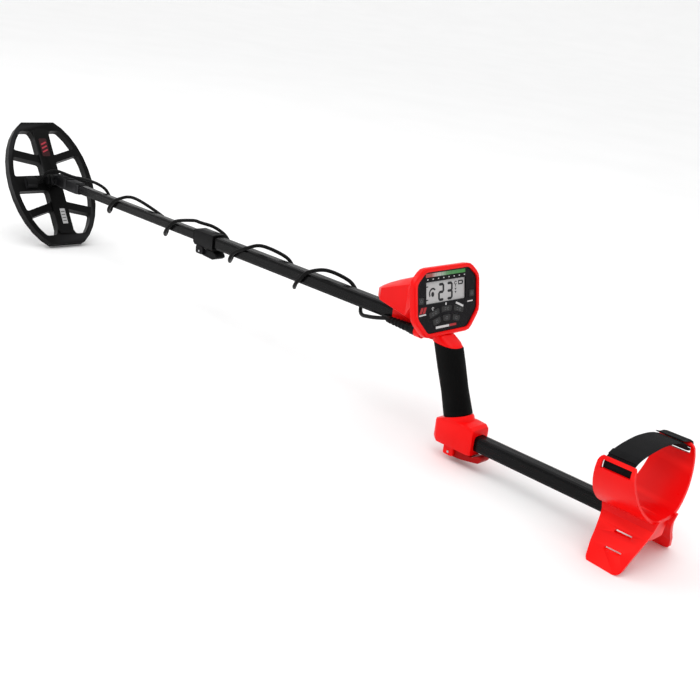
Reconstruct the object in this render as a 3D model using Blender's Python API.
"""Metal detector: search coil, telescopic shaft, control pod with its grip, and arm cuff.

Lengths are in millimetres and become metres when a mesh is made. Each piece is drawn in the shaft's
frame: X to the right, Y forward along the front tube's axis, Z up from that axis. The shaft's empty
leans everything nose-down until the coil's heel and the cuff's feet stand on Z = 0.
"""
from math import asin, atan2, cos, pi, radians, sin, sqrt

import bmesh
import bpy
from mathutils import Matrix, Vector

MM = 0.001
GAP = 0.3

# Shaft tubes: rounded squares, half sizes and walls
TUBE_HALF = 10.0
TUBE_CORNER = 4.5
TUBE_WALL = 1.3
LOWER_HALF = 8.0
LOWER_CORNER = 3.5
LOWER_WALL = 1.4
LOWER_REAR = 215.0
MIDDLE_FRONT = 340.0
MIDDLE_REAR = -163.0
REAR_DROP = 125.0
REAR_FRONT = -200.0
REAR_END = -512.0

# Coil, in its own frame: X across, Y towards the toe, Z off the top face, hinge axis at the origin
HINGE = (0.0, 808.6, 0.0)
COIL_LEAN = radians(58.1)
COIL_HALF_WIDTH = 84.5
COIL_HALF_LENGTH = 122.0
COIL_FLAT_HALF = 33.7
COIL_TOP = -14.5
COIL_SEAM = -27.0
COIL_BOTTOM = -30.5
COIL_RIM = 9.5
SPINE_HALF = 15.5
SPINE_RISE = 3.0
EAR_THICKNESS = 5.0
EAR_RADIUS = 11.0
BOLT_RADIUS = 4.0
GLAND_HEIGHT = -9.3
GLAND_END = -31.0

# Yoke
YOKE_HUB_HALF = 8.6
LOWER_FRONT = 714.0

# Front clamp and rear clamp
COLLAR_HALF = 13.0
COLLAR_REAR = 299.0
COLLAR_FRONT = 347.0
FRONT_PIVOT = (0.0, 332.0, -19.8)
REAR_PIVOT = (0.0, -222.0, -149.0)
CHEEK_INNER = 9.5
CHEEK_OUTER = 13.0
PIN_RADIUS = 1.6

# Control pod: panel centre and lean, octagons as half width, half height, top cut, bottom cut
PANEL_CENTRE = (0.0, -174.7, 41.0)
PANEL_LEAN = radians(79.34)
PANEL = (58.1, 38.84, 16.1, 13.5, 19.0, 22.0)
PANEL_THICKNESS = 2.5
BEZEL_RIM = 5.6
BEZEL_DEPTH = 9.0
POD_WALL = 2.4
FAN_CENTRE = (-1.8, -98.6)
CELL_RADIUS = 7.25
CELL_LENGTH = 50.5
DOOR = ((-134.0, 19.5), (-105.0, 25.0), (-98.0, 25.0), (-98.0, 36.0), (-105.0, 36.0), (-134.0, 50.0))
DOOR_PIVOT = (34.8, -100.0, 30.5)
POD_SIDE = 36.0
SLEEVE_FRONT = -97.0
SOCKET_AXIS = (-21.8, -4.5)
PLUG_FRONT = -97.0
SOCKET_FRONT = -150.0
SOCKET_REAR = -160.0

# Grip and base
GRIP_TOP = (0.0, -186.5, -12.0)
GRIP_LEAN = radians(-20.6)
GRIP_LENGTH = 99.0
GRIP_HALF = (15.5, 18.5)
CORE_HALF = (10.0, 12.5)
BASE_FRONT = -197.0
BASE_REAR = -259.0

# Cuff
CUFF_WALL = 3.6
CUFF_SCREW_Y = -485.0
STRAP_THICKNESS = 2.2
STRAP_REAR = -502.0
STRAP_FRONT = -468.0
CRADLE = ((62.5, -41.0), (66.0, -49.0), (66.0, -60.0), (62.0, -74.0), (53.0, -89.5), (40.0, -102.5),
          (28.0, -110.5), (16.0, -114.3), (0.0, -114.6))
FOOT_MIDDLE = (-488.0, -171.5)
LEG = ((22.0, -110.0), (22.5, -122.0), (28.0, -131.0), (36.0, -141.5), (46.0, -152.5), (60.5, -176.5))
LEG_THICKNESS = 4.0

# Cable
CABLE_RADIUS = 2.75
CABLE_LOW = (618.8, 443.6, 267.2, 112.9)
CABLE_HIGH = (667.5, 540.0, 369.2, 193.8, 48.3)
CABLE_SPLIT = 353.0


# ---------------------------------------------------------------- helpers

def clear_scene():
    """Start from nothing."""
    for existing in list(bpy.data.objects):
        bpy.data.objects.remove(existing, do_unlink=True)


def empty(name, parent=None, location=(0, 0, 0), lean=0.0):
    """Add an empty that carries a frame leaning about X."""
    frame = bpy.data.objects.new(name, None)
    frame.parent = parent
    frame.location = Vector(location) * MM
    frame.rotation_euler = (lean, 0, 0)
    bpy.context.scene.collection.objects.link(frame)
    return frame


def finish(name, color, roughness, metallic=0.0):
    """Return the named material, making it on first use."""
    existing = bpy.data.materials.get(name)
    if existing:
        return existing
    made = bpy.data.materials.new(name)
    made.use_nodes = True
    shader = made.node_tree.nodes["Principled BSDF"]
    shader.inputs["Base Color"].default_value = (*color, 1.0)
    shader.inputs["Roughness"].default_value = roughness
    shader.inputs["Metallic"].default_value = metallic
    return made


def red_plastic():
    return finish("red_plastic", (0.80, 0.01, 0.01), 0.35)


def black_plastic():
    return finish("black_plastic", (0.02, 0.02, 0.022), 0.5)


def black_tube():
    return finish("black_tube", (0.015, 0.015, 0.018), 0.3)


def black_rubber():
    return finish("black_rubber", (0.02, 0.02, 0.02), 0.8)


def key_rubber():
    return finish("key_rubber", (0.09, 0.10, 0.11), 0.7)


def steel():
    return finish("steel", (0.6, 0.6, 0.62), 0.3, 1.0)


def copper():
    return finish("copper", (0.72, 0.35, 0.18), 0.35, 1.0)


def webbing():
    return finish("webbing", (0.03, 0.03, 0.03), 0.95)


def glass():
    return finish("glass", (0.55, 0.56, 0.54), 0.1)


def circuit_board():
    return finish("circuit_board", (0.02, 0.16, 0.06), 0.4)


def add_piece(name, solid, parent, look, pivot=(0, 0, 0)):
    """Turn a solid drawn in millimetres into an object whose origin is on pivot."""
    bmesh.ops.translate(solid, verts=solid.verts, vec=-Vector(pivot))
    bmesh.ops.scale(solid, verts=solid.verts, vec=(MM, MM, MM))
    bmesh.ops.recalc_face_normals(solid, faces=solid.faces)
    mesh = bpy.data.meshes.new(name)
    solid.to_mesh(mesh)
    solid.free()
    mesh.materials.append(look)
    mesh.shade_smooth()
    mesh.set_sharp_from_angle(angle=radians(35))
    piece = bpy.data.objects.new(name, mesh)
    piece.parent = parent
    piece.location = Vector(pivot) * MM
    bpy.context.scene.collection.objects.link(piece)
    return piece


def loft(rings):
    """Return a closed solid through rings of equally many points, with flat ends."""
    solid = bmesh.new()
    loops = [[solid.verts.new(point) for point in ring] for ring in rings]
    count = len(loops[0])
    for first, second in zip(loops, loops[1:]):
        for i in range(count):
            j = (i + 1) % count
            solid.faces.new((first[i], first[j], second[j], second[i]))
    solid.faces.new(loops[0])
    solid.faces.new(loops[-1])
    bmesh.ops.recalc_face_normals(solid, faces=solid.faces)
    return solid


def ring_at(outline, axis, height):
    """Place a flat outline across an axis: (y, z) for X, (x, z) for Y, (x, y) for Z."""
    if axis == "X":
        return [(height, a, b) for a, b in outline]
    if axis == "Y":
        return [(a, height, b) for a, b in outline]
    return [(a, b, height) for a, b in outline]


def prism(outline, axis, low, high):
    """Extrude an outline along an axis."""
    return loft([ring_at(outline, axis, low), ring_at(outline, axis, high)])


def moved(solid, vector):
    bmesh.ops.translate(solid, verts=solid.verts, vec=vector)
    return solid


def circle(radius, sides=24, centre=(0, 0)):
    """Outline of a circle."""
    turns = [2 * pi * i / sides for i in range(sides)]
    return [(centre[0] + radius * cos(t), centre[1] + radius * sin(t)) for t in turns]


def rectangle(low, high):
    """Outline of a rectangle between two corners."""
    return [(low[0], low[1]), (high[0], low[1]), (high[0], high[1]), (low[0], high[1])]


def rounded(corners, radius, steps=2):
    """Round an outline's corners with short curves that start radius away from each corner."""
    outline = []
    for i, corner in enumerate(corners):
        corner = Vector(corner)
        before = (Vector(corners[i - 1]) - corner).normalized() * radius + corner
        after = (Vector(corners[(i + 1) % len(corners)]) - corner).normalized() * radius + corner
        for k in range(steps + 1):
            t = k / steps
            outline.append(tuple(before * (1 - t) ** 2 + corner * 2 * t * (1 - t) + after * t * t))
    return outline


def square(half, radius, centre=(0, 0), steps=2):
    """Outline of a rounded square about a centre."""
    low = (centre[0] - half, centre[1] - half)
    high = (centre[0] + half, centre[1] + half)
    return rounded(rectangle(low, high), radius, steps)


def temporary(solid):
    mesh = bpy.data.meshes.new("temporary")
    solid.to_mesh(mesh)
    solid.free()
    holder = bpy.data.objects.new("temporary", mesh)
    bpy.context.scene.collection.objects.link(holder)
    return holder


def shaped(base, add=(), cut=()):
    """Join solids to a base and cut others from it; all of them are used up."""
    steps = [(solid, "UNION") for solid in add] + [(solid, "DIFFERENCE") for solid in cut]
    holders = [temporary(base)]
    for solid, operation in steps:
        tool = temporary(solid)
        step = holders[0].modifiers.new(operation, "BOOLEAN")
        step.operation = operation
        step.solver = "EXACT"
        step.object = tool
        holders.append(tool)
    view = bpy.context.evaluated_depsgraph_get()
    result = bmesh.new()
    result.from_mesh(holders[0].evaluated_get(view).to_mesh())
    for holder in holders:
        mesh = holder.data
        bpy.data.objects.remove(holder, do_unlink=True)
        bpy.data.meshes.remove(mesh)
    bmesh.ops.dissolve_degenerate(result, edges=result.edges, dist=0.0005)
    return result


def cylinder(axis, centre, radius, low, high, sides=24):
    return prism(circle(radius, sides, centre), axis, low, high)


def smooth_route(route, spacing):
    """Points every spacing along a smooth curve through the route's points."""
    points = [Vector(p) for p in route]
    padded = [2 * points[0] - points[1]] + points + [2 * points[-1] - points[-2]]
    dense = []
    for a, b, c, d in zip(padded, padded[1:], padded[2:], padded[3:]):
        for k in range(20):
            t = k / 20
            dense.append(0.5 * (2 * b + (c - a) * t + (2 * a - 5 * b + 4 * c - d) * t ** 2
                                + (3 * b - a - 3 * c + d) * t ** 3))
    dense.append(points[-1])
    length = sum((q - p).length for p, q in zip(dense, dense[1:]))
    step = length / max(2, round(length / spacing))
    picked = [dense[0]]
    travelled = 0.0
    for p, q in zip(dense, dense[1:]):
        travelled += (q - p).length
        if travelled >= step * len(picked) - 1e-6:
            picked.append(q)
    picked[-1] = dense[-1]
    return picked


def add_cable(name, route, parent):
    """A tube of the cable's diameter along a smooth route whose first and last legs stay straight."""
    curve = bpy.data.curves.new(name, "CURVE")
    curve.dimensions = "3D"
    curve.bevel_depth = CABLE_RADIUS * MM
    curve.bevel_resolution = 2
    curve.use_fill_caps = True
    points = [Vector(route[0])] + smooth_route(route[1:-1], 11.0) + [Vector(route[-1])]
    spline = curve.splines.new("POLY")
    spline.points.add(len(points) - 1)
    for target, point in zip(spline.points, points):
        target.co = (*(point * MM), 1.0)
    curve.materials.append(black_rubber())
    cable = bpy.data.objects.new(name, curve)
    cable.parent = parent
    bpy.context.scene.collection.objects.link(cable)


# ---------------------------------------------------------------- coil

def rim_half_width(along, inset=0.0):
    """Half width of the coil's elliptical outline at a distance along it."""
    reach = COIL_HALF_LENGTH / sqrt(1 - (COIL_FLAT_HALF / COIL_HALF_WIDTH) ** 2)
    return (COIL_HALF_WIDTH - inset) * sqrt(1 - (along / (reach - inset)) ** 2)


def coil_outline(inset=0.0, steps=12):
    """Ellipse cut off flat at toe and heel."""
    end = COIL_HALF_LENGTH - inset
    reach = COIL_HALF_LENGTH / sqrt(1 - (COIL_FLAT_HALF / COIL_HALF_WIDTH) ** 2) - inset
    last = asin(end / reach)
    side = []
    for i in range(steps + 1):
        turn = -last + 2 * last * i / steps
        side.append(((COIL_HALF_WIDTH - inset) * cos(turn), reach * sin(turn)))
    return side + [(-x, -y) for x, y in side]


def rim_point(side, along):
    return (side * rim_half_width(along, COIL_RIM), along)


def coil_windows():
    """Eight openings between the spine, the thin spokes, the middle arms and the rim."""
    inner = SPINE_HALF
    windows = []
    for side in (-1, 1):
        arm_top, arm_bottom = (15.0, -15.0) if side < 0 else (6.0, -5.5)
        toe = [(side * inner, 54.5), rim_point(side, 67.5), rim_point(side, 88), rim_point(side, 104.5),
               (side * (inner + 5), 104.5), (side * inner, 92)]
        upper = [(side * inner, arm_top), rim_point(side, arm_top), rim_point(side, 35),
                 rim_point(side, 54), (side * inner, 39.5)]
        lower = [(side * inner, -39.5), rim_point(side, -54), rim_point(side, -35),
                 rim_point(side, arm_bottom), (side * inner, arm_bottom)]
        heel = [(x, -y) for x, y in reversed(toe)]
        windows += [rounded(shape, 4.0) for shape in (toe, upper, lower, heel)]
    return windows


def window_cutters(low, high):
    return [prism(outline, "Z", low, high) for outline in coil_windows()]


def winding_outline(side, inset):
    """A D loop: along the rim on one side and back down the spine's other half."""
    bow = [(side * rim_half_width(y, inset), y) for y in (-104, -85, -60, -30, 0, 30, 60, 85, 104)]
    end = COIL_HALF_LENGTH - inset - 1.0
    back = -side * (SPINE_HALF - inset - 2.5)
    return [(back, -end), (side * 27, -end)] + bow + [(side * 27, end), (back, end)]


def d_loop(side, outer, inner, low, high):
    return shaped(prism(winding_outline(side, outer), "Z", low, high),
                  cut=[prism(winding_outline(side, inner), "Z", low - 1, high + 1)])


def add_coil_shell(coil):
    ear_profile = [(-EAR_RADIUS, COIL_TOP - 1)] + [
        (EAR_RADIUS * cos(t), EAR_RADIUS * sin(t)) for t in [pi - pi * i / 10 for i in range(11)]
    ] + [(EAR_RADIUS, COIL_TOP - 1)]
    ears = [prism(ear_profile, "X", side * (SPINE_HALF - EAR_THICKNESS), side * SPINE_HALF)
            for side in (-1, 1)]
    spine = prism(rounded(rectangle((-SPINE_HALF, -103), (SPINE_HALF, 108)), 8), "Z",
                  COIL_TOP - 2, COIL_TOP + SPINE_RISE)
    boss = prism(rounded([(-10.5, COIL_TOP - 3), (-10.5, -8), (-5, -3), (5, -3), (10.5, -8),
                          (10.5, COIL_TOP - 3)], 2), "X", -58, -38)
    holes = [cylinder("X", (0, 0), BOLT_RADIUS + 0.3, -30, 30, 20)]
    yoke_pocket = cylinder("X", (0, 0), 12.5, -(SPINE_HALF - EAR_THICKNESS), SPINE_HALF - EAR_THICKNESS, 24)
    gland_hole = cylinder("X", (0, GLAND_HEIGHT), 4.2, -50, -30, 16)
    open_plate = shaped(prism(coil_outline(), "Z", COIL_SEAM, COIL_TOP),
                        cut=window_cutters(COIL_SEAM - 1, COIL_TOP + 1))
    shell = shaped(open_plate, add=[spine, boss] + ears, cut=holes + [yoke_pocket, gland_hole])
    grooves = [d_loop(side, 2.6, 7.4, COIL_SEAM - 1, COIL_SEAM + 7.6) for side in (-1, 1)]
    shell = shaped(shell, cut=grooves)
    add_piece("coil_top_shell", shell, coil, black_plastic())


def add_coil(coil):
    """Everything that turns about the coil bolt, apart from its cable."""
    add_coil_shell(coil)
    plate = shaped(prism(coil_outline(), "Z", COIL_BOTTOM, COIL_SEAM - GAP),
                   cut=window_cutters(COIL_BOTTOM - 1, COIL_SEAM))
    add_piece("coil_skid_plate", plate, coil, black_plastic())
    transmit = d_loop(-1, 3.2, 6.8, COIL_SEAM + 0.3, COIL_SEAM + 3.4)
    receive = d_loop(1, 3.2, 6.8, COIL_SEAM + 3.9, COIL_SEAM + 7.0)
    add_piece("transmit_winding", transmit, coil, copper())
    add_piece("receive_winding", receive, coil, copper())
    face = SPINE_HALF + GAP
    head = cylinder("X", (0, 0), 8.0, -face - 5, -face, 12)
    bolt = shaped(head, add=[cylinder("X", (0, 0), BOLT_RADIUS, -face - 1, face + 7, 16)])
    add_piece("coil_bolt", bolt, coil, black_plastic())
    nut = shaped(prism(circle(8.5, 8), "X", face, face + 6),
                 cut=[cylinder("X", (0, 0), BOLT_RADIUS + 0.3, 0, 40, 16)])
    add_piece("coil_nut", nut, coil, black_plastic())
    low, high = YOKE_HUB_HALF + GAP, SPINE_HALF - EAR_THICKNESS - GAP
    for side, name in ((-1, "left"), (1, "right")):
        washer = shaped(cylinder("X", (0, 0), 9.0, side * low, side * high, 20),
                        cut=[cylinder("X", (0, 0), BOLT_RADIUS + 0.4, -30, 30, 16)])
        add_piece("coil_washer_" + name, washer, coil, black_rubber())
    gland = shaped(cylinder("X", (0, GLAND_HEIGHT), 3.9, -49, GLAND_END, 16),
                   add=[cylinder("X", (0, GLAND_HEIGHT), 4.8, -37.6, -34.5, 16)])
    add_piece("coil_cable_gland", gland, coil, black_rubber())


# ---------------------------------------------------------------- lower shaft

def add_yoke(shaft):
    """Hub on the coil bolt, ribbed wedge that widens to the shaft, stepped ferrule and spigot."""
    y_hinge = HINGE[1]
    hub = cylinder("X", (y_hinge, 0), 10.5, -YOKE_HUB_HALF, YOKE_HUB_HALF, 24)
    sections = ((812, YOKE_HUB_HALF, -7, 7), (790, YOKE_HUB_HALF, -8.5, 12), (764, 10.8, -9.5, 12),
                (757, 10.8, -9.5, 11.5), (756.5, 9.6, -9, 10), (752, 9.6, -9, 10), (751.5, 10.6, -9.8, 10.8),
                (722, 10.2, -9.8, 10.2), (721.5, 9.2, -9.2, 9.2), (714.3, 9.2, -9.2, 9.2))
    rings = []
    for y, half, low, high in sections:
        outline = rounded(rectangle((-half, low), (half, high)), 2.5)
        rings.append(ring_at(outline, "Y", y))
    spigot = prism(square(LOWER_HALF - LOWER_WALL - GAP, 2.4), "Y", 690, 715)
    bore = cylinder("X", (y_hinge, 0), BOLT_RADIUS + 0.3, -30, 30, 20)
    yoke = shaped(hub, add=[loft(rings), spigot], cut=[bore])
    add_piece("yoke", yoke, shaft, black_plastic())


def tube(half, corner, wall, low, high, centre=(0, 0)):
    """Rounded square tube along Y."""
    inner = prism(square(half - wall, corner - wall, centre), "Y", low - 1, high + 1)
    return shaped(prism(square(half, corner, centre), "Y", low, high), cut=[inner])


def add_lower_shaft(shaft):
    add_yoke(shaft)
    lower = tube(LOWER_HALF, LOWER_CORNER, LOWER_WALL, LOWER_REAR, LOWER_FRONT)
    add_piece("lower_tube", lower, shaft, black_tube())
    end = LOWER_REAR - GAP
    bush = shaped(prism(square(LOWER_HALF + 0.3, 3.5), "Y", end - 12, end),
                  add=[prism(square(LOWER_HALF - LOWER_WALL - GAP, 2.4), "Y", end - 1, end + 14)])
    add_piece("lower_tube_bush", bush, shaft, black_plastic())


# ---------------------------------------------------------------- clamps

def clamp_cheeks(y_low, y_high, z_low, z_high):
    """Two cheeks below a clamp that carry the lever's pin."""
    outline = rounded(rectangle((y_low, z_low), (y_high, z_high)), 3)
    return [prism(outline, "X", side * CHEEK_INNER, side * CHEEK_OUTER) for side in (-1, 1)]


def add_lever(name, pin_name, outline, pivot, pin_half, parent, look):
    """Cam lever on a cross pin; outline is in (y, z) measured from the pivot."""
    half = CHEEK_INNER - GAP
    bore = cylinder("X", (0, 0), PIN_RADIUS + 0.3, -20, 20, 14)
    lever = shaped(prism(rounded(outline, 1.5), "X", -half, half), cut=[bore])
    add_piece(name, moved(lever, pivot), parent, look, pivot)
    pin = cylinder("X", pivot[1:], PIN_RADIUS, -pin_half, pin_half, 14)
    add_piece(pin_name, pin, parent, steel(), pivot)


def add_front_clamp(shaft):
    """Collar on the middle tube's mouth, its seal, and the lever that squeezes it."""
    y, z = FRONT_PIVOT[1:]
    body = prism(square(COLLAR_HALF, 4), "Y", COLLAR_REAR, COLLAR_FRONT)
    mouth = prism(square(LOWER_HALF + 0.4, 3.6), "Y", MIDDLE_FRONT, COLLAR_FRONT + 1)
    seat = prism(square(TUBE_HALF + GAP, TUBE_CORNER + 0.2), "Y", COLLAR_REAR - 1, MIDDLE_FRONT + GAP)
    pin_hole = cylinder("X", (y, z), PIN_RADIUS + 0.3, -30, 30, 14)
    collar = shaped(body, add=clamp_cheeks(y - 9, y + 9, z - 4.5, z + 8.5), cut=[mouth, seat, pin_hole])
    add_piece("front_collar", collar, shaft, black_plastic())
    lip = COLLAR_FRONT + GAP
    seal = shaped(prism(square(11.5, 4), "Y", lip, lip + 4),
                  cut=[prism(square(LOWER_HALF + 0.4, 3.6), "Y", lip - 1, lip + 6)])
    add_piece("collar_seal", seal, shaft, black_rubber())
    outline = [(4.5, 4.0), (-30, 5.5), (-38, 2.5), (-40, -2.5), (-36, -5.5), (-31, -7.5), (-6, -6.2),
               (3.5, -4.5)]
    add_lever("front_lock_lever", "front_lock_pin", outline, FRONT_PIVOT, CHEEK_OUTER + 0.4, shaft,
              black_plastic())


def add_middle_tube(shaft):
    add_piece("middle_tube", tube(TUBE_HALF, TUBE_CORNER, TUBE_WALL, MIDDLE_REAR, MIDDLE_FRONT), shaft,
              black_tube())


# ---------------------------------------------------------------- control pod

def octagon(growth=0.0):
    """The panel's eight-sided outline with eased corners, moved outward by growth."""
    half_x, half_y, top_x, top_y, low_x, low_y = PANEL
    x, y = half_x + growth, half_y + growth
    ease = growth * 0.35
    right = [(x - low_x - ease, -y), (x, -y + low_y + ease), (x, y - top_y - ease), (x - top_x - ease, y)]
    return rounded(right + [(-a, b) for a, b in reversed(right)], 4.5 + growth * 0.5)


def bezel_solid(growth, top):
    """The bezel's outside: straight sides that draw in a little towards the back."""
    return loft([ring_at(octagon(growth + BEZEL_RIM - 2.4), "Z", -BEZEL_DEPTH - growth),
                 ring_at(octagon(growth + BEZEL_RIM), "Z", 2.5 - BEZEL_DEPTH),
                 ring_at(octagon(growth + BEZEL_RIM), "Z", top),
                 ring_at(octagon(growth + BEZEL_RIM - 1.4), "Z", top + 1.4)])


def add_bezel(panel):
    """Red frame around the panel: deep sides, proud rim, pocket and window."""
    pocket = prism(octagon(GAP), "Z", -PANEL_THICKNESS - GAP, 5)
    window = prism(octagon(-5), "Z", -20, 5)
    add_piece("bezel", shaped(bezel_solid(0.0, 0.6), cut=[pocket, window]), panel, red_plastic())


def fan_key(radius, turn, half, taper):
    """Outline of a key that stands on an arc below the display, narrower at its lower edge."""
    corners = [(-half[0] + taper, -half[1]), (half[0] - taper, -half[1]), half, (-half[0], half[1])]
    placed = []
    for x, y in corners:
        reach = radius + y
        placed.append((FAN_CENTRE[0] + x * cos(turn) + reach * sin(turn),
                       FAN_CENTRE[1] - x * sin(turn) + reach * cos(turn)))
    return placed


def key_layout():
    """Name and outline of each key on the panel."""
    keys = []
    for name, x in (("key_light", -50.2), ("key_power", 48.4)):
        keys.append((name, rectangle((x - 4.6, -0.4), (x + 4.6, 8.4))))
    for name, radius, turn, half, taper in (("key_upper", 88.0, 15.7, (10.2, 3.6), 0.7),
                                            ("key_lower", 76.2, 14.3, (7.6, 4.0), 1.3)):
        for column in (-1, 0, 1):
            outline = fan_key(radius, radians(turn) * column, half, taper)
            keys.append(("%s_%d" % (name, column + 2), outline))
    return keys


def grown(outline, growth):
    """Scale a small outline about its middle so that it is wider by about growth on each side."""
    middle = sum((Vector(p) for p in outline), Vector((0, 0))) / len(outline)
    reach = min((Vector(p) - middle).length for p in outline)
    return [tuple(middle + (Vector(p) - middle) * (1 + growth * 1.5 / reach)) for p in outline]


def add_panel(panel):
    """Black fascia with its window and key holes, the display behind it, and the keys."""
    holes = [prism(rectangle((-40.2, -1.7), (36.6, 26.3)), "Z", -10, 5)]
    holes += [prism(grown(outline, 0.4), "Z", -10, 5) for name, outline in key_layout()]
    fascia = shaped(prism(octagon(), "Z", -PANEL_THICKNESS, 0), cut=holes)
    add_piece("display_panel", fascia, panel, black_plastic())
    lcd = prism(rectangle((-39.9, -1.4), (36.3, 26.0)), "Z", -5.5, -2.0)
    add_piece("lcd_module", lcd, panel, glass())
    for name, outline in key_layout():
        middle = sum((Vector(p) for p in outline), Vector((0, 0))) / len(outline)
        key = prism(rounded(outline, 1.2), "Z", -1.8, 0.7)
        add_piece(name, key, panel, key_rubber(), (middle.x, middle.y, 0))


def pod_section(y, half, top, shoulder, low, bottom, inset=0.0):
    """Cross-section of the pod's nose: crowned top, straight sides, bevelled underside."""
    half, top, shoulder = half - inset, top - inset, shoulder - inset * 0.6
    low, bottom = low + inset * 0.6, bottom + inset
    right = [(half * 0.62, bottom), (half, low), (half, shoulder), (half * 0.62, top - 2.2)]
    left = [(-x, z) for x, z in reversed(right)]
    return [(x, y, z) for x, z in [(0, bottom)] + right + [(0, top)] + left]


def panel_place():
    """Frame of the panel in the shaft's frame."""
    return Matrix.Translation(PANEL_CENTRE) @ Matrix.Rotation(PANEL_LEAN, 4, "X")


def pod_back(growth, depth):
    """The pod's last ring, level with the bezel's back, with the nose sections' ten points."""
    half_x, half_y = PANEL[0] + growth, PANEL[1] + growth
    right = [(half_x - 21, -half_y), (half_x, -half_y + 22), (half_x, half_y - 14), (half_x - 17, half_y)]
    flat = [(0, -half_y)] + right + [(0, half_y)] + [(-x, z) for x, z in reversed(right)]
    frame = panel_place()
    return [tuple(frame @ Vector((x, z, depth))) for x, z in flat]


def add_pod_housing(shaft):
    """Hollow shell from the bezel to the nose, the sleeve around the tube, and the door's opening."""
    outer = loft([pod_section(-71.5, 11, 35, 32, 28, 26), pod_section(-78, 25, 39, 34, 23, 20),
                  pod_section(-92, 36, 46, 38, 22, 17), pod_section(-138, 36, 66, 55.5, 14, 6),
                  pod_back(-13, -22), pod_back(-2.5, -BEZEL_DEPTH - GAP)])
    wall = POD_WALL
    inner = loft([pod_section(-84, 28, 41, 35, 25, 21, wall), pod_section(-92, 36, 46, 38, 22, 18, wall),
                  pod_section(-138, 36, 66, 55.5, 16, 13.4, wall), pod_back(-13 - wall, -22),
                  pod_back(-2.5 - wall, -BEZEL_DEPTH), pod_back(-2.5 - wall, 0)])
    sleeve = prism(square(TUBE_HALF + 3.6, 5), "Y", MIDDLE_REAR - 3, SLEEVE_FRONT)
    web = prism([(-164, 5), (-164, 15), (-104, 24), (SLEEVE_FRONT - 3, 12)], "X", -12, 12)
    bore = prism(square(TUBE_HALF + GAP, TUBE_CORNER + 0.2), "Y", MIDDLE_REAR - GAP, SLEEVE_FRONT + 1)
    door = prism(DOOR, "X", POD_SIDE - 6, POD_SIDE + 4)
    boss = cylinder("Y", SOCKET_AXIS, 7.9, SOCKET_REAR, SOCKET_FRONT, 20)
    stem = prism(rectangle((-28, -6), (-14.5, 18)), "Y", SOCKET_REAR, SOCKET_FRONT - 2)
    socket = cylinder("Y", SOCKET_AXIS, 6.6, SOCKET_FRONT - 8, SOCKET_FRONT + 1, 16)
    hinge_hole = cylinder("Z", DOOR_PIVOT[:2], 0.8, 22, 39, 10)
    housing = shaped(outer, add=[sleeve, web, boss, stem], cut=[inner, bore, door, socket, hinge_hole])
    add_piece("pod_housing", housing, shaft, red_plastic())


def add_battery_door(shaft):
    """Side door over the cells; it swings forward about a thin upright pin in its front edge."""
    middle = sum((Vector(corner) for corner in DOOR), Vector((0, 0))) / len(DOOR)
    leaf = [tuple(middle + (Vector(corner) - middle) * 0.96) for corner in DOOR]
    leaf_solid = prism(leaf, "X", POD_SIDE - POD_WALL, POD_SIDE)
    grip_rib = prism(rectangle((-131, 31), (-129, 40)), "X", POD_SIDE - 1, POD_SIDE + 1.2)
    bore = cylinder("Z", DOOR_PIVOT[:2], 0.8, 10, 60, 10)
    door = shaped(leaf_solid, add=[grip_rib], cut=[bore])
    add_piece("battery_door", door, shaft, red_plastic(), DOOR_PIVOT)
    pin = cylinder("Z", DOOR_PIVOT[:2], 0.6, 23, 38, 10)
    add_piece("battery_door_pin", pin, shaft, steel(), DOOR_PIVOT)


def add_pod_inside(shaft, panel):
    """Board, speaker, four cells side by side in their tray, and the door over them."""
    board = prism(rectangle((-40, -23), (40, 27)), "Z", -9.5, -7.9)
    add_piece("main_board", board, panel, circuit_board())
    speaker = cylinder("Z", (0, 10), 12.0, -15.5, -9.9, 24)
    add_piece("speaker", speaker, panel, black_plastic())
    tray = prism(rectangle((-146, 26.5), (-96, 28.3)), "X", -27, 27)
    add_piece("battery_tray", tray, shaft, black_plastic())
    for index, (y, z) in enumerate(((-104.5, 36.2), (-119.2, 36.2), (-134, 36.2), (-143, 50.8))):
        cell = cylinder("X", (y, z), CELL_RADIUS, -CELL_LENGTH / 2, CELL_LENGTH / 2, 16)
        tip = cylinder("X", (y, z), 2.7, CELL_LENGTH / 2 - 0.5, CELL_LENGTH / 2 + 1.2, 12)
        add_piece("battery_cell_%d" % (index + 1), shaped(cell, add=[tip]), shaft, steel())


# ---------------------------------------------------------------- plug

def add_plug(shaft):
    """Socket in the pod's boss, locking ring, and the ribbed plug on the cable."""
    x, z = SOCKET_AXIS
    front = SOCKET_FRONT + GAP
    socket = shaped(cylinder("Y", SOCKET_AXIS, 6.3, SOCKET_FRONT - 7.7, SOCKET_FRONT, 20),
                    cut=[cylinder("Y", SOCKET_AXIS, 4.6, SOCKET_FRONT - 6, SOCKET_FRONT + 1, 16)])
    add_piece("cable_socket", socket, shaft, steel())
    ring = shaped(cylinder("Y", SOCKET_AXIS, 7.4, front, front + 9, 24),
                  cut=[cylinder("Y", SOCKET_AXIS, 5.0, front - 1, front + 10, 16)])
    add_piece("plug_ring", ring, shaft, black_plastic())
    shoulder = front + 9.3
    profile = [(SOCKET_FRONT - 5, 4.3), (shoulder, 4.3), (shoulder, 6.4)]
    for rib in range(5):
        y = shoulder + 6.4 + 6.5 * rib
        profile += [(y, 6.4 - 0.3 * rib), (y + 1, 5.4 - 0.3 * rib), (y + 3, 5.4 - 0.3 * rib)]
        profile += [(y + 4, 6.2 - 0.3 * rib)]
    profile += [(PLUG_FRONT, 4.2)]
    rings = [ring_at(circle(radius, 16, (x, z)), "Y", y) for y, radius in profile]
    add_piece("cable_plug", loft(rings), shaft, black_rubber())


# ---------------------------------------------------------------- grip, base

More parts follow.
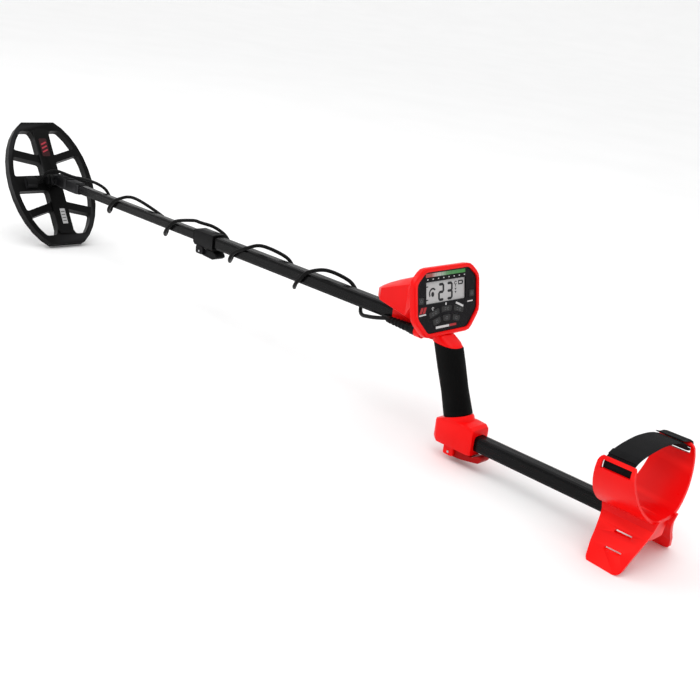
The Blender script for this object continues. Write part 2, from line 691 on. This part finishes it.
def grip_ring(half, height, slope=0.0, sides=24):
    """Squared ellipse around the grip's axis; a slope tips it from front to back."""
    ring = []
    for i in range(sides):
        turn = 2 * pi * (i + 0.5) / sides
        c, s = cos(turn), sin(turn)
        x = half[0] * abs(c) ** 0.8 * (1 if c >= 0 else -1)
        y = half[1] * abs(s) ** 0.8 * (1 if s >= 0 else -1)
        ring.append((x, y, height + slope * y))
    return ring


def leaned(solid):
    """Carry a solid from the grip's frame to the shaft's."""
    frame = Matrix.Translation(GRIP_TOP) @ Matrix.Rotation(GRIP_LEAN, 4, "X")
    solid.transform(frame)
    return solid


def neck_ring(height, half_x, rear, front):
    """Level ring of the neck between two distances along the shaft."""
    middle = (front + rear) / 2
    return [(x, y + middle, z) for x, y, z in grip_ring((half_x, (front - rear) / 2), height)]


def core_solid(growth, low, high):
    half = (CORE_HALF[0] + growth, CORE_HALF[1] + growth)
    return leaned(loft([grip_ring(half, low), grip_ring(half, high)]))


def add_handle(shaft):
    """Red core with the neck that meets the pod, and the rubber sleeve around the core."""
    end = -GRIP_LENGTH + 4
    sleeve = leaned(loft([grip_ring(GRIP_HALF, -2, 0.42), grip_ring(GRIP_HALF, -30),
                          grip_ring((15.0, 17.8), -62), grip_ring((16.0, 19.0), end)]))
    add_piece("grip_sleeve", shaped(sleeve, cut=[core_solid(GAP, -120, 30)]), shaft, black_rubber())
    neck = loft([neck_ring(-18, 15.5, -208, -166), neck_ring(-14, 15.4, -206, -165),
                 neck_ring(-10, 15.1, -202, -165), neck_ring(-6.5, 14.7, -195.5, -165),
                 neck_ring(-3, 14.2, -188, -165), neck_ring(1, 13.8, -185, -165)])
    rubber_space = leaned(loft([grip_ring((30, 30), -1.7, 0.42), grip_ring((30, 30), -60)]))
    bezel_space = bezel_solid(GAP, 9.0)
    bezel_space.transform(panel_place())
    ahead = prism(rectangle((MIDDLE_REAR - 3 - GAP, -60), (-120, 30)), "X", -40, 40)
    neck = shaped(neck, cut=[rubber_space, bezel_space, ahead])
    core = core_solid(0, -GRIP_LENGTH - 1, -2)
    core = shaped(core, cut=[prism(rectangle((-160, -60), (-120, 30)), "X", -40, 40)])
    add_piece("handle_core", shaped(core, add=[neck]), shaft, red_plastic())


def add_base(shaft):
    """Block under the grip that the rear tube slides through, with its clamp lever."""
    sections = ((BASE_FRONT, 15.0, -138, -108), (BASE_FRONT - 6, 17.5, -141.5, -105.5),
                (-240, 17.5, -141.5, -102), (-254, 17.5, -141.5, -103), (BASE_REAR, 16.0, -140.5, -106))
    rings = []
    for y, half, low, high in sections:
        rings.append(ring_at(rounded(rectangle((-half, low), (half, high)), 4.5), "Y", y))
    top = -GRIP_LENGTH + 4 - GAP
    saddle = leaned(loft([grip_ring((17.5, 21.0), top - 14), grip_ring((17.3, 20.6), top - 3),
                          grip_ring((16.4, 19.6), top)]))
    y, z = REAR_PIVOT[1:]
    bore = prism(square(TUBE_HALF + GAP, TUBE_CORNER + 0.2, (0, -REAR_DROP)), "Y", -300, -150)
    pin_hole = cylinder("X", (y, z), PIN_RADIUS + 0.3, -30, 30, 14)
    base = shaped(loft(rings), add=[saddle] + clamp_cheeks(y - 8, y + 8, z - 4.5, z + 9.5),
                  cut=[bore, pin_hole, core_solid(GAP, -GRIP_LENGTH - 1.3, -50),
                       leaned(loft([grip_ring((30, 30), top), grip_ring((30, 30), top + 40)]))])
    add_piece("base_housing", base, shaft, red_plastic())
    outline = [(6, 2.6), (2, 5.3), (-36.5, 5.3), (-40, 8), (-49, 10.5), (-51, 6), (-47, 0.5), (-20, -4.5),
               (-4, -5.5), (4.5, -3.5)]
    add_lever("rear_lock_lever", "rear_lock_pin", outline, REAR_PIVOT, CHEEK_OUTER + 0.4, shaft,
              red_plastic())


# ---------------------------------------------------------------- rear shaft

def strip(points, thickness):
    """Closed outline of an open line thickened towards its left."""
    line = [Vector(p) for p in points]
    offset = []
    for i, point in enumerate(line):
        along = (line[min(i + 1, len(line) - 1)] - line[max(i - 1, 0)]).normalized()
        offset.append(point + Vector((-along.y, along.x)) * thickness)
    return [tuple(p) for p in line] + [tuple(p) for p in reversed(offset)]


def between(outline, front, rear):
    """Solid across Y whose two ends lean: front and rear give y for a height z."""
    return loft([[(x, front(z), z) for x, z in outline], [(x, rear(z), z) for x, z in outline]])


def corner_cutter(start, corner, end):
    """Cutter along X that rounds a corner in (y, z); start and end lie on its two edges."""
    start, corner, end = Vector(start), Vector(corner), Vector(end)
    curve = []
    for k in range(5):
        t = k / 4
        curve.append(tuple(start * (1 - t) ** 2 + corner * 2 * t * (1 - t) + end * t * t))
    out_y, out_z = (corner - start) * 0.7, (corner - end) * 0.7
    outside = [tuple(end + out_y), tuple(corner + out_y + out_z), tuple(start + out_z)]
    return prism(curve + outside, "X", -90, 90)


def ground_height(y):
    """Height of the ground below the shaft's axis, on the line through the heel and the feet."""
    heel_y, heel_z = heel_point()
    slope = (heel_z - FOOT_MIDDLE[1]) / (heel_y - FOOT_MIDDLE[0])
    return FOOT_MIDDLE[1] + (y - FOOT_MIDDLE[0]) * slope


def heel_point():
    """Lowest edge of the coil in the shaft's frame, as (y, z)."""
    c, s = cos(COIL_LEAN), sin(COIL_LEAN)
    return (HINGE[1] - COIL_HALF_LENGTH * c - COIL_BOTTOM * s,
            -COIL_HALF_LENGTH * s + COIL_BOTTOM * c)


def cradle_front(z):
    return -455 - 0.118 * (z + 110)


def cradle_rear(z):
    return -521 + 0.206 * (z + 110)


def leg_front(z):
    return -456 + 0.21 * (z + 120)


def leg_rear(z):
    return -523 - 0.25 * (z + 120)


def add_cuff(shaft):
    """Arm cuff: cradle with strap slots, two splayed legs with slots, and the tube's socket."""
    line = [(-x, z, 0) for x, z in CRADLE[:-1]] + [(x, z, 0) for x, z in reversed(CRADLE)]
    wall = strip([(p.x, p.y) for p in smooth_route(line, 8.0)], CUFF_WALL)
    cradle = between(wall, cradle_front, cradle_rear)
    legs = []
    cuts = [prism(square(TUBE_HALF + GAP, TUBE_CORNER + 0.2, (0, -REAR_DROP)), "Y", REAR_END - GAP, -400),
            cylinder("Z", (0, CUFF_SCREW_Y), 2.4, -130, -100, 14),
            cylinder("Z", (0, CUFF_SCREW_Y), 4.3, -113.2, -100, 18)]
    for side in (-1, 1):
        leg = strip([(side * x, z) for x, z in LEG], -side * LEG_THICKNESS)
        legs.append(between(leg, leg_front, leg_rear))
        cuts.append(prism(rectangle((side * 50, -55), (side * 75, -45.5)), "Y", -504, -467.5))
        for x, z, y in ((31, -135.2, -492.5), (45, -152.2, -491.5)):
            low, high = sorted((side * (x - 12), side * (x + 12)))
            cuts.append(prism(rectangle((low, z - 1.6), (high, z + 1.6)), "Y", y - 10.5, y + 10.5))
    block = [(-13.8, -138.8), (13.8, -138.8), (19, -121), (19, -112), (-19, -112), (-19, -121)]
    socket = prism(rounded(block, 2.5), "Y", REAR_END - 4, -456)
    ground = prism([(-560, ground_height(-560)), (-400, ground_height(-400)), (-400, -230), (-560, -230)],
                   "X", -90, 90)
    top, sole = CRADLE[0][1], ground_height(FOOT_MIDDLE[0])
    for edge, inward, reach, height in ((cradle_front, -1, 7, top), (cradle_rear, 1, 6, top),
                                        (leg_front, -1, 6, sole), (leg_rear, 1, 6, sole)):
        level = height - reach if height == top else height + reach
        corner = (edge(height), height)
        cuts.append(corner_cutter((corner[0] + inward * reach, height), corner, (edge(level), level)))
    cuff = shaped(cradle, add=[socket] + legs, cut=cuts + [ground])
    add_piece("arm_cuff", cuff, shaft, red_plastic())
    screw = shaped(cylinder("Z", (0, CUFF_SCREW_Y), 4.0, -112.9, -110.9, 16),
                   add=[cylinder("Z", (0, CUFF_SCREW_Y), 2.1, -121.5, -112, 12)],
                   cut=[prism(rectangle((-3, CUFF_SCREW_Y - 0.5), (3, CUFF_SCREW_Y + 0.5)), "Z", -111.9, -110)])
    add_piece("cuff_screw", screw, shaft, steel())
    nut = shaped(prism(circle(4.6, 6, (0, CUFF_SCREW_Y)), "Z", -120, -116.6),
                 cut=[cylinder("Z", (0, CUFF_SCREW_Y), 2.4, -130, -100, 12)])
    add_piece("cuff_nut", nut, shaft, steel())


def add_strap(shaft):
    """Webbing from inside the left wall, over the arm and out of the right slot, and its folded end."""
    left = [(-57.8, -64), (-59.4, -57), (-59.5, -51.5), (-58, -46.6), (-53.5, -42.6), (-46, -39.4), (-35, -37)]
    right = [(34, -37), (44, -39.6), (51, -42.6), (56.3, -46.8), (61, -52.2), (68.2, -52.4)]
    route = left + [(-20, -35), (0, -33.8), (20, -35)] + right
    rear, front = lambda z: STRAP_REAR, lambda z: STRAP_FRONT
    band = between(strip(route, STRAP_THICKNESS), front, rear)
    add_piece("arm_strap", band, shaft, webbing())
    fold = [(42, -36.2), (50, -38.8), (56, -40), (62, -40.5), (67, -42.2), (69.6, -46.3), (70.2, -51)]
    tail = between(strip(fold, STRAP_THICKNESS), front, rear)
    add_piece("strap_fold", tail, shaft, webbing())


def add_rear_shaft(shaft):
    centre = (0, -REAR_DROP)
    rear = tube(TUBE_HALF, TUBE_CORNER, TUBE_WALL, REAR_END, REAR_FRONT, centre)
    rear = shaped(rear, cut=[cylinder("Z", (0, CUFF_SCREW_Y), 2.5, -118, -100, 14)])
    add_piece("rear_tube", rear, shaft, black_tube())
    face = REAR_FRONT + GAP
    cap = shaped(prism(square(TUBE_HALF, TUBE_CORNER, centre), "Y", face, face + 2.5),
                 add=[prism(square(TUBE_HALF - TUBE_WALL - GAP, 3, centre), "Y", face - 12, face + 1)])
    add_piece("rear_tube_cap", cap, shaft, black_plastic())
    add_cuff(shaft)
    add_strap(shaft)


# ---------------------------------------------------------------- cable

def wraps(lows, highs, reach, drop, rise):
    """One turn per low point: down the right side, under the tube, up the left, over the top."""
    route = []
    for low, high in zip(lows, highs):
        left = low - 26
        route += [(reach, low + 22, 1), (reach * 0.82, low + 10, -drop * 0.6), (0, low, -drop)]
        route += [(-reach * 0.82, low - 13, -drop * 0.6), (-reach, left, 0)]
        route += [(-reach * 0.8, (left * 2 + high) / 3, rise * 0.62), (0, high, rise)]
    return route


def add_cables(shaft):
    """The coil's cable, wound around the shaft from the gland to the plug."""
    gland_y, gland_z = HINGE[1] - GLAND_HEIGHT * sin(COIL_LEAN), GLAND_HEIGHT * cos(COIL_LEAN)
    start = GLAND_END + GAP
    at_coil = [(start, gland_y, gland_z), (start + 2, gland_y, gland_z), (-25.8, 811.5, 3.0),
               (-24.5, 806, 12), (-17, 800.5, 18.5), (-9, 793, 20), (-4, 783, 19.0), (-1.5, 768, 17.8),
               (-0.5, 754, 17.4), (-0.5, 752, 17.4)]
    add_cable("cable_at_coil", at_coil, shaft)
    lower = [(-0.5, 752 - GAP, 17.4), (-0.5, 750, 17.4), (0, 735, 18.2), (0, 709, 21), (1, 688, 21.3),
             (4.5, 667, 19.5), (10, 651, 13)]
    lower += wraps(CABLE_LOW[:2], CABLE_HIGH[1:3], 13.0, 20.5, 20.5)
    lower += [(2.7, CABLE_SPLIT + 2, 20.4), (3.0, CABLE_SPLIT, 20.4)]
    add_cable("cable_on_lower_shaft", lower, shaft)
    x, z = SOCKET_AXIS
    middle = [(3.0, CABLE_SPLIT - GAP, 20.4), (3.3, CABLE_SPLIT - 2, 20.4), (10.5, 328, 18.5),
              (17.5, 308, 10), (14.5, CABLE_LOW[2] + 20, -2), (11.5, CABLE_LOW[2] + 9, -13),
              (0, CABLE_LOW[2], -21.5), (-11.5, CABLE_LOW[2] - 13, -13), (-14.5, CABLE_LOW[2] - 26, 0),
              (-11.5, 216, 13), (0, CABLE_HIGH[3], 21), (11.5, 152, 14)]
    middle += wraps(CABLE_LOW[3:], CABLE_HIGH[4:], 14.3, 21.5, 21)
    middle += [(11.5, 14, 14), (14.3, -2, 0), (11.2, -14, -12.5), (0, -26, -18), (-8, -38, -18.6),
               (-13.5, -52, -15.5), (-18, -71, -11), (x, PLUG_FRONT + 3, z), (x, PLUG_FRONT + GAP, z)]
    add_cable("cable_on_middle_tube", middle, shaft)


# ---------------------------------------------------------------- assembly

def stand_on_ground(shaft):
    """Lean the shaft onto its heel and feet, and centre the whole on the origin."""
    heel_y, heel_z = heel_point()
    foot_y, foot_z = FOOT_MIDDLE
    shaft.rotation_euler = (-atan2(heel_z - foot_z, heel_y - foot_y), 0, 0)
    bpy.context.view_layer.update()
    view = bpy.context.evaluated_depsgraph_get()
    lows, highs = [1e9] * 3, [-1e9] * 3
    for piece in bpy.data.objects:
        if piece.type == "EMPTY":
            continue
        shape = piece.evaluated_get(view).to_mesh()
        for vertex in shape.vertices:
            place = piece.matrix_world @ vertex.co
            lows = [min(a, b) for a, b in zip(lows, place)]
            highs = [max(a, b) for a, b in zip(highs, place)]
    shaft.location = (-(lows[0] + highs[0]) / 2, -(lows[1] + highs[1]) / 2, -lows[2])


def build():
    clear_scene()
    shaft = empty("shaft_frame")
    coil = empty("coil_frame", shaft, HINGE, COIL_LEAN)
    panel = empty("panel_frame", shaft, PANEL_CENTRE, PANEL_LEAN)
    add_coil(coil)
    add_lower_shaft(shaft)
    add_front_clamp(shaft)
    add_middle_tube(shaft)
    add_bezel(panel)
    add_panel(panel)
    add_pod_housing(shaft)
    add_battery_door(shaft)
    add_pod_inside(shaft, panel)
    add_plug(shaft)
    add_handle(shaft)
    add_base(shaft)
    add_rear_shaft(shaft)
    add_cables(shaft)
    stand_on_ground(shaft)


build()
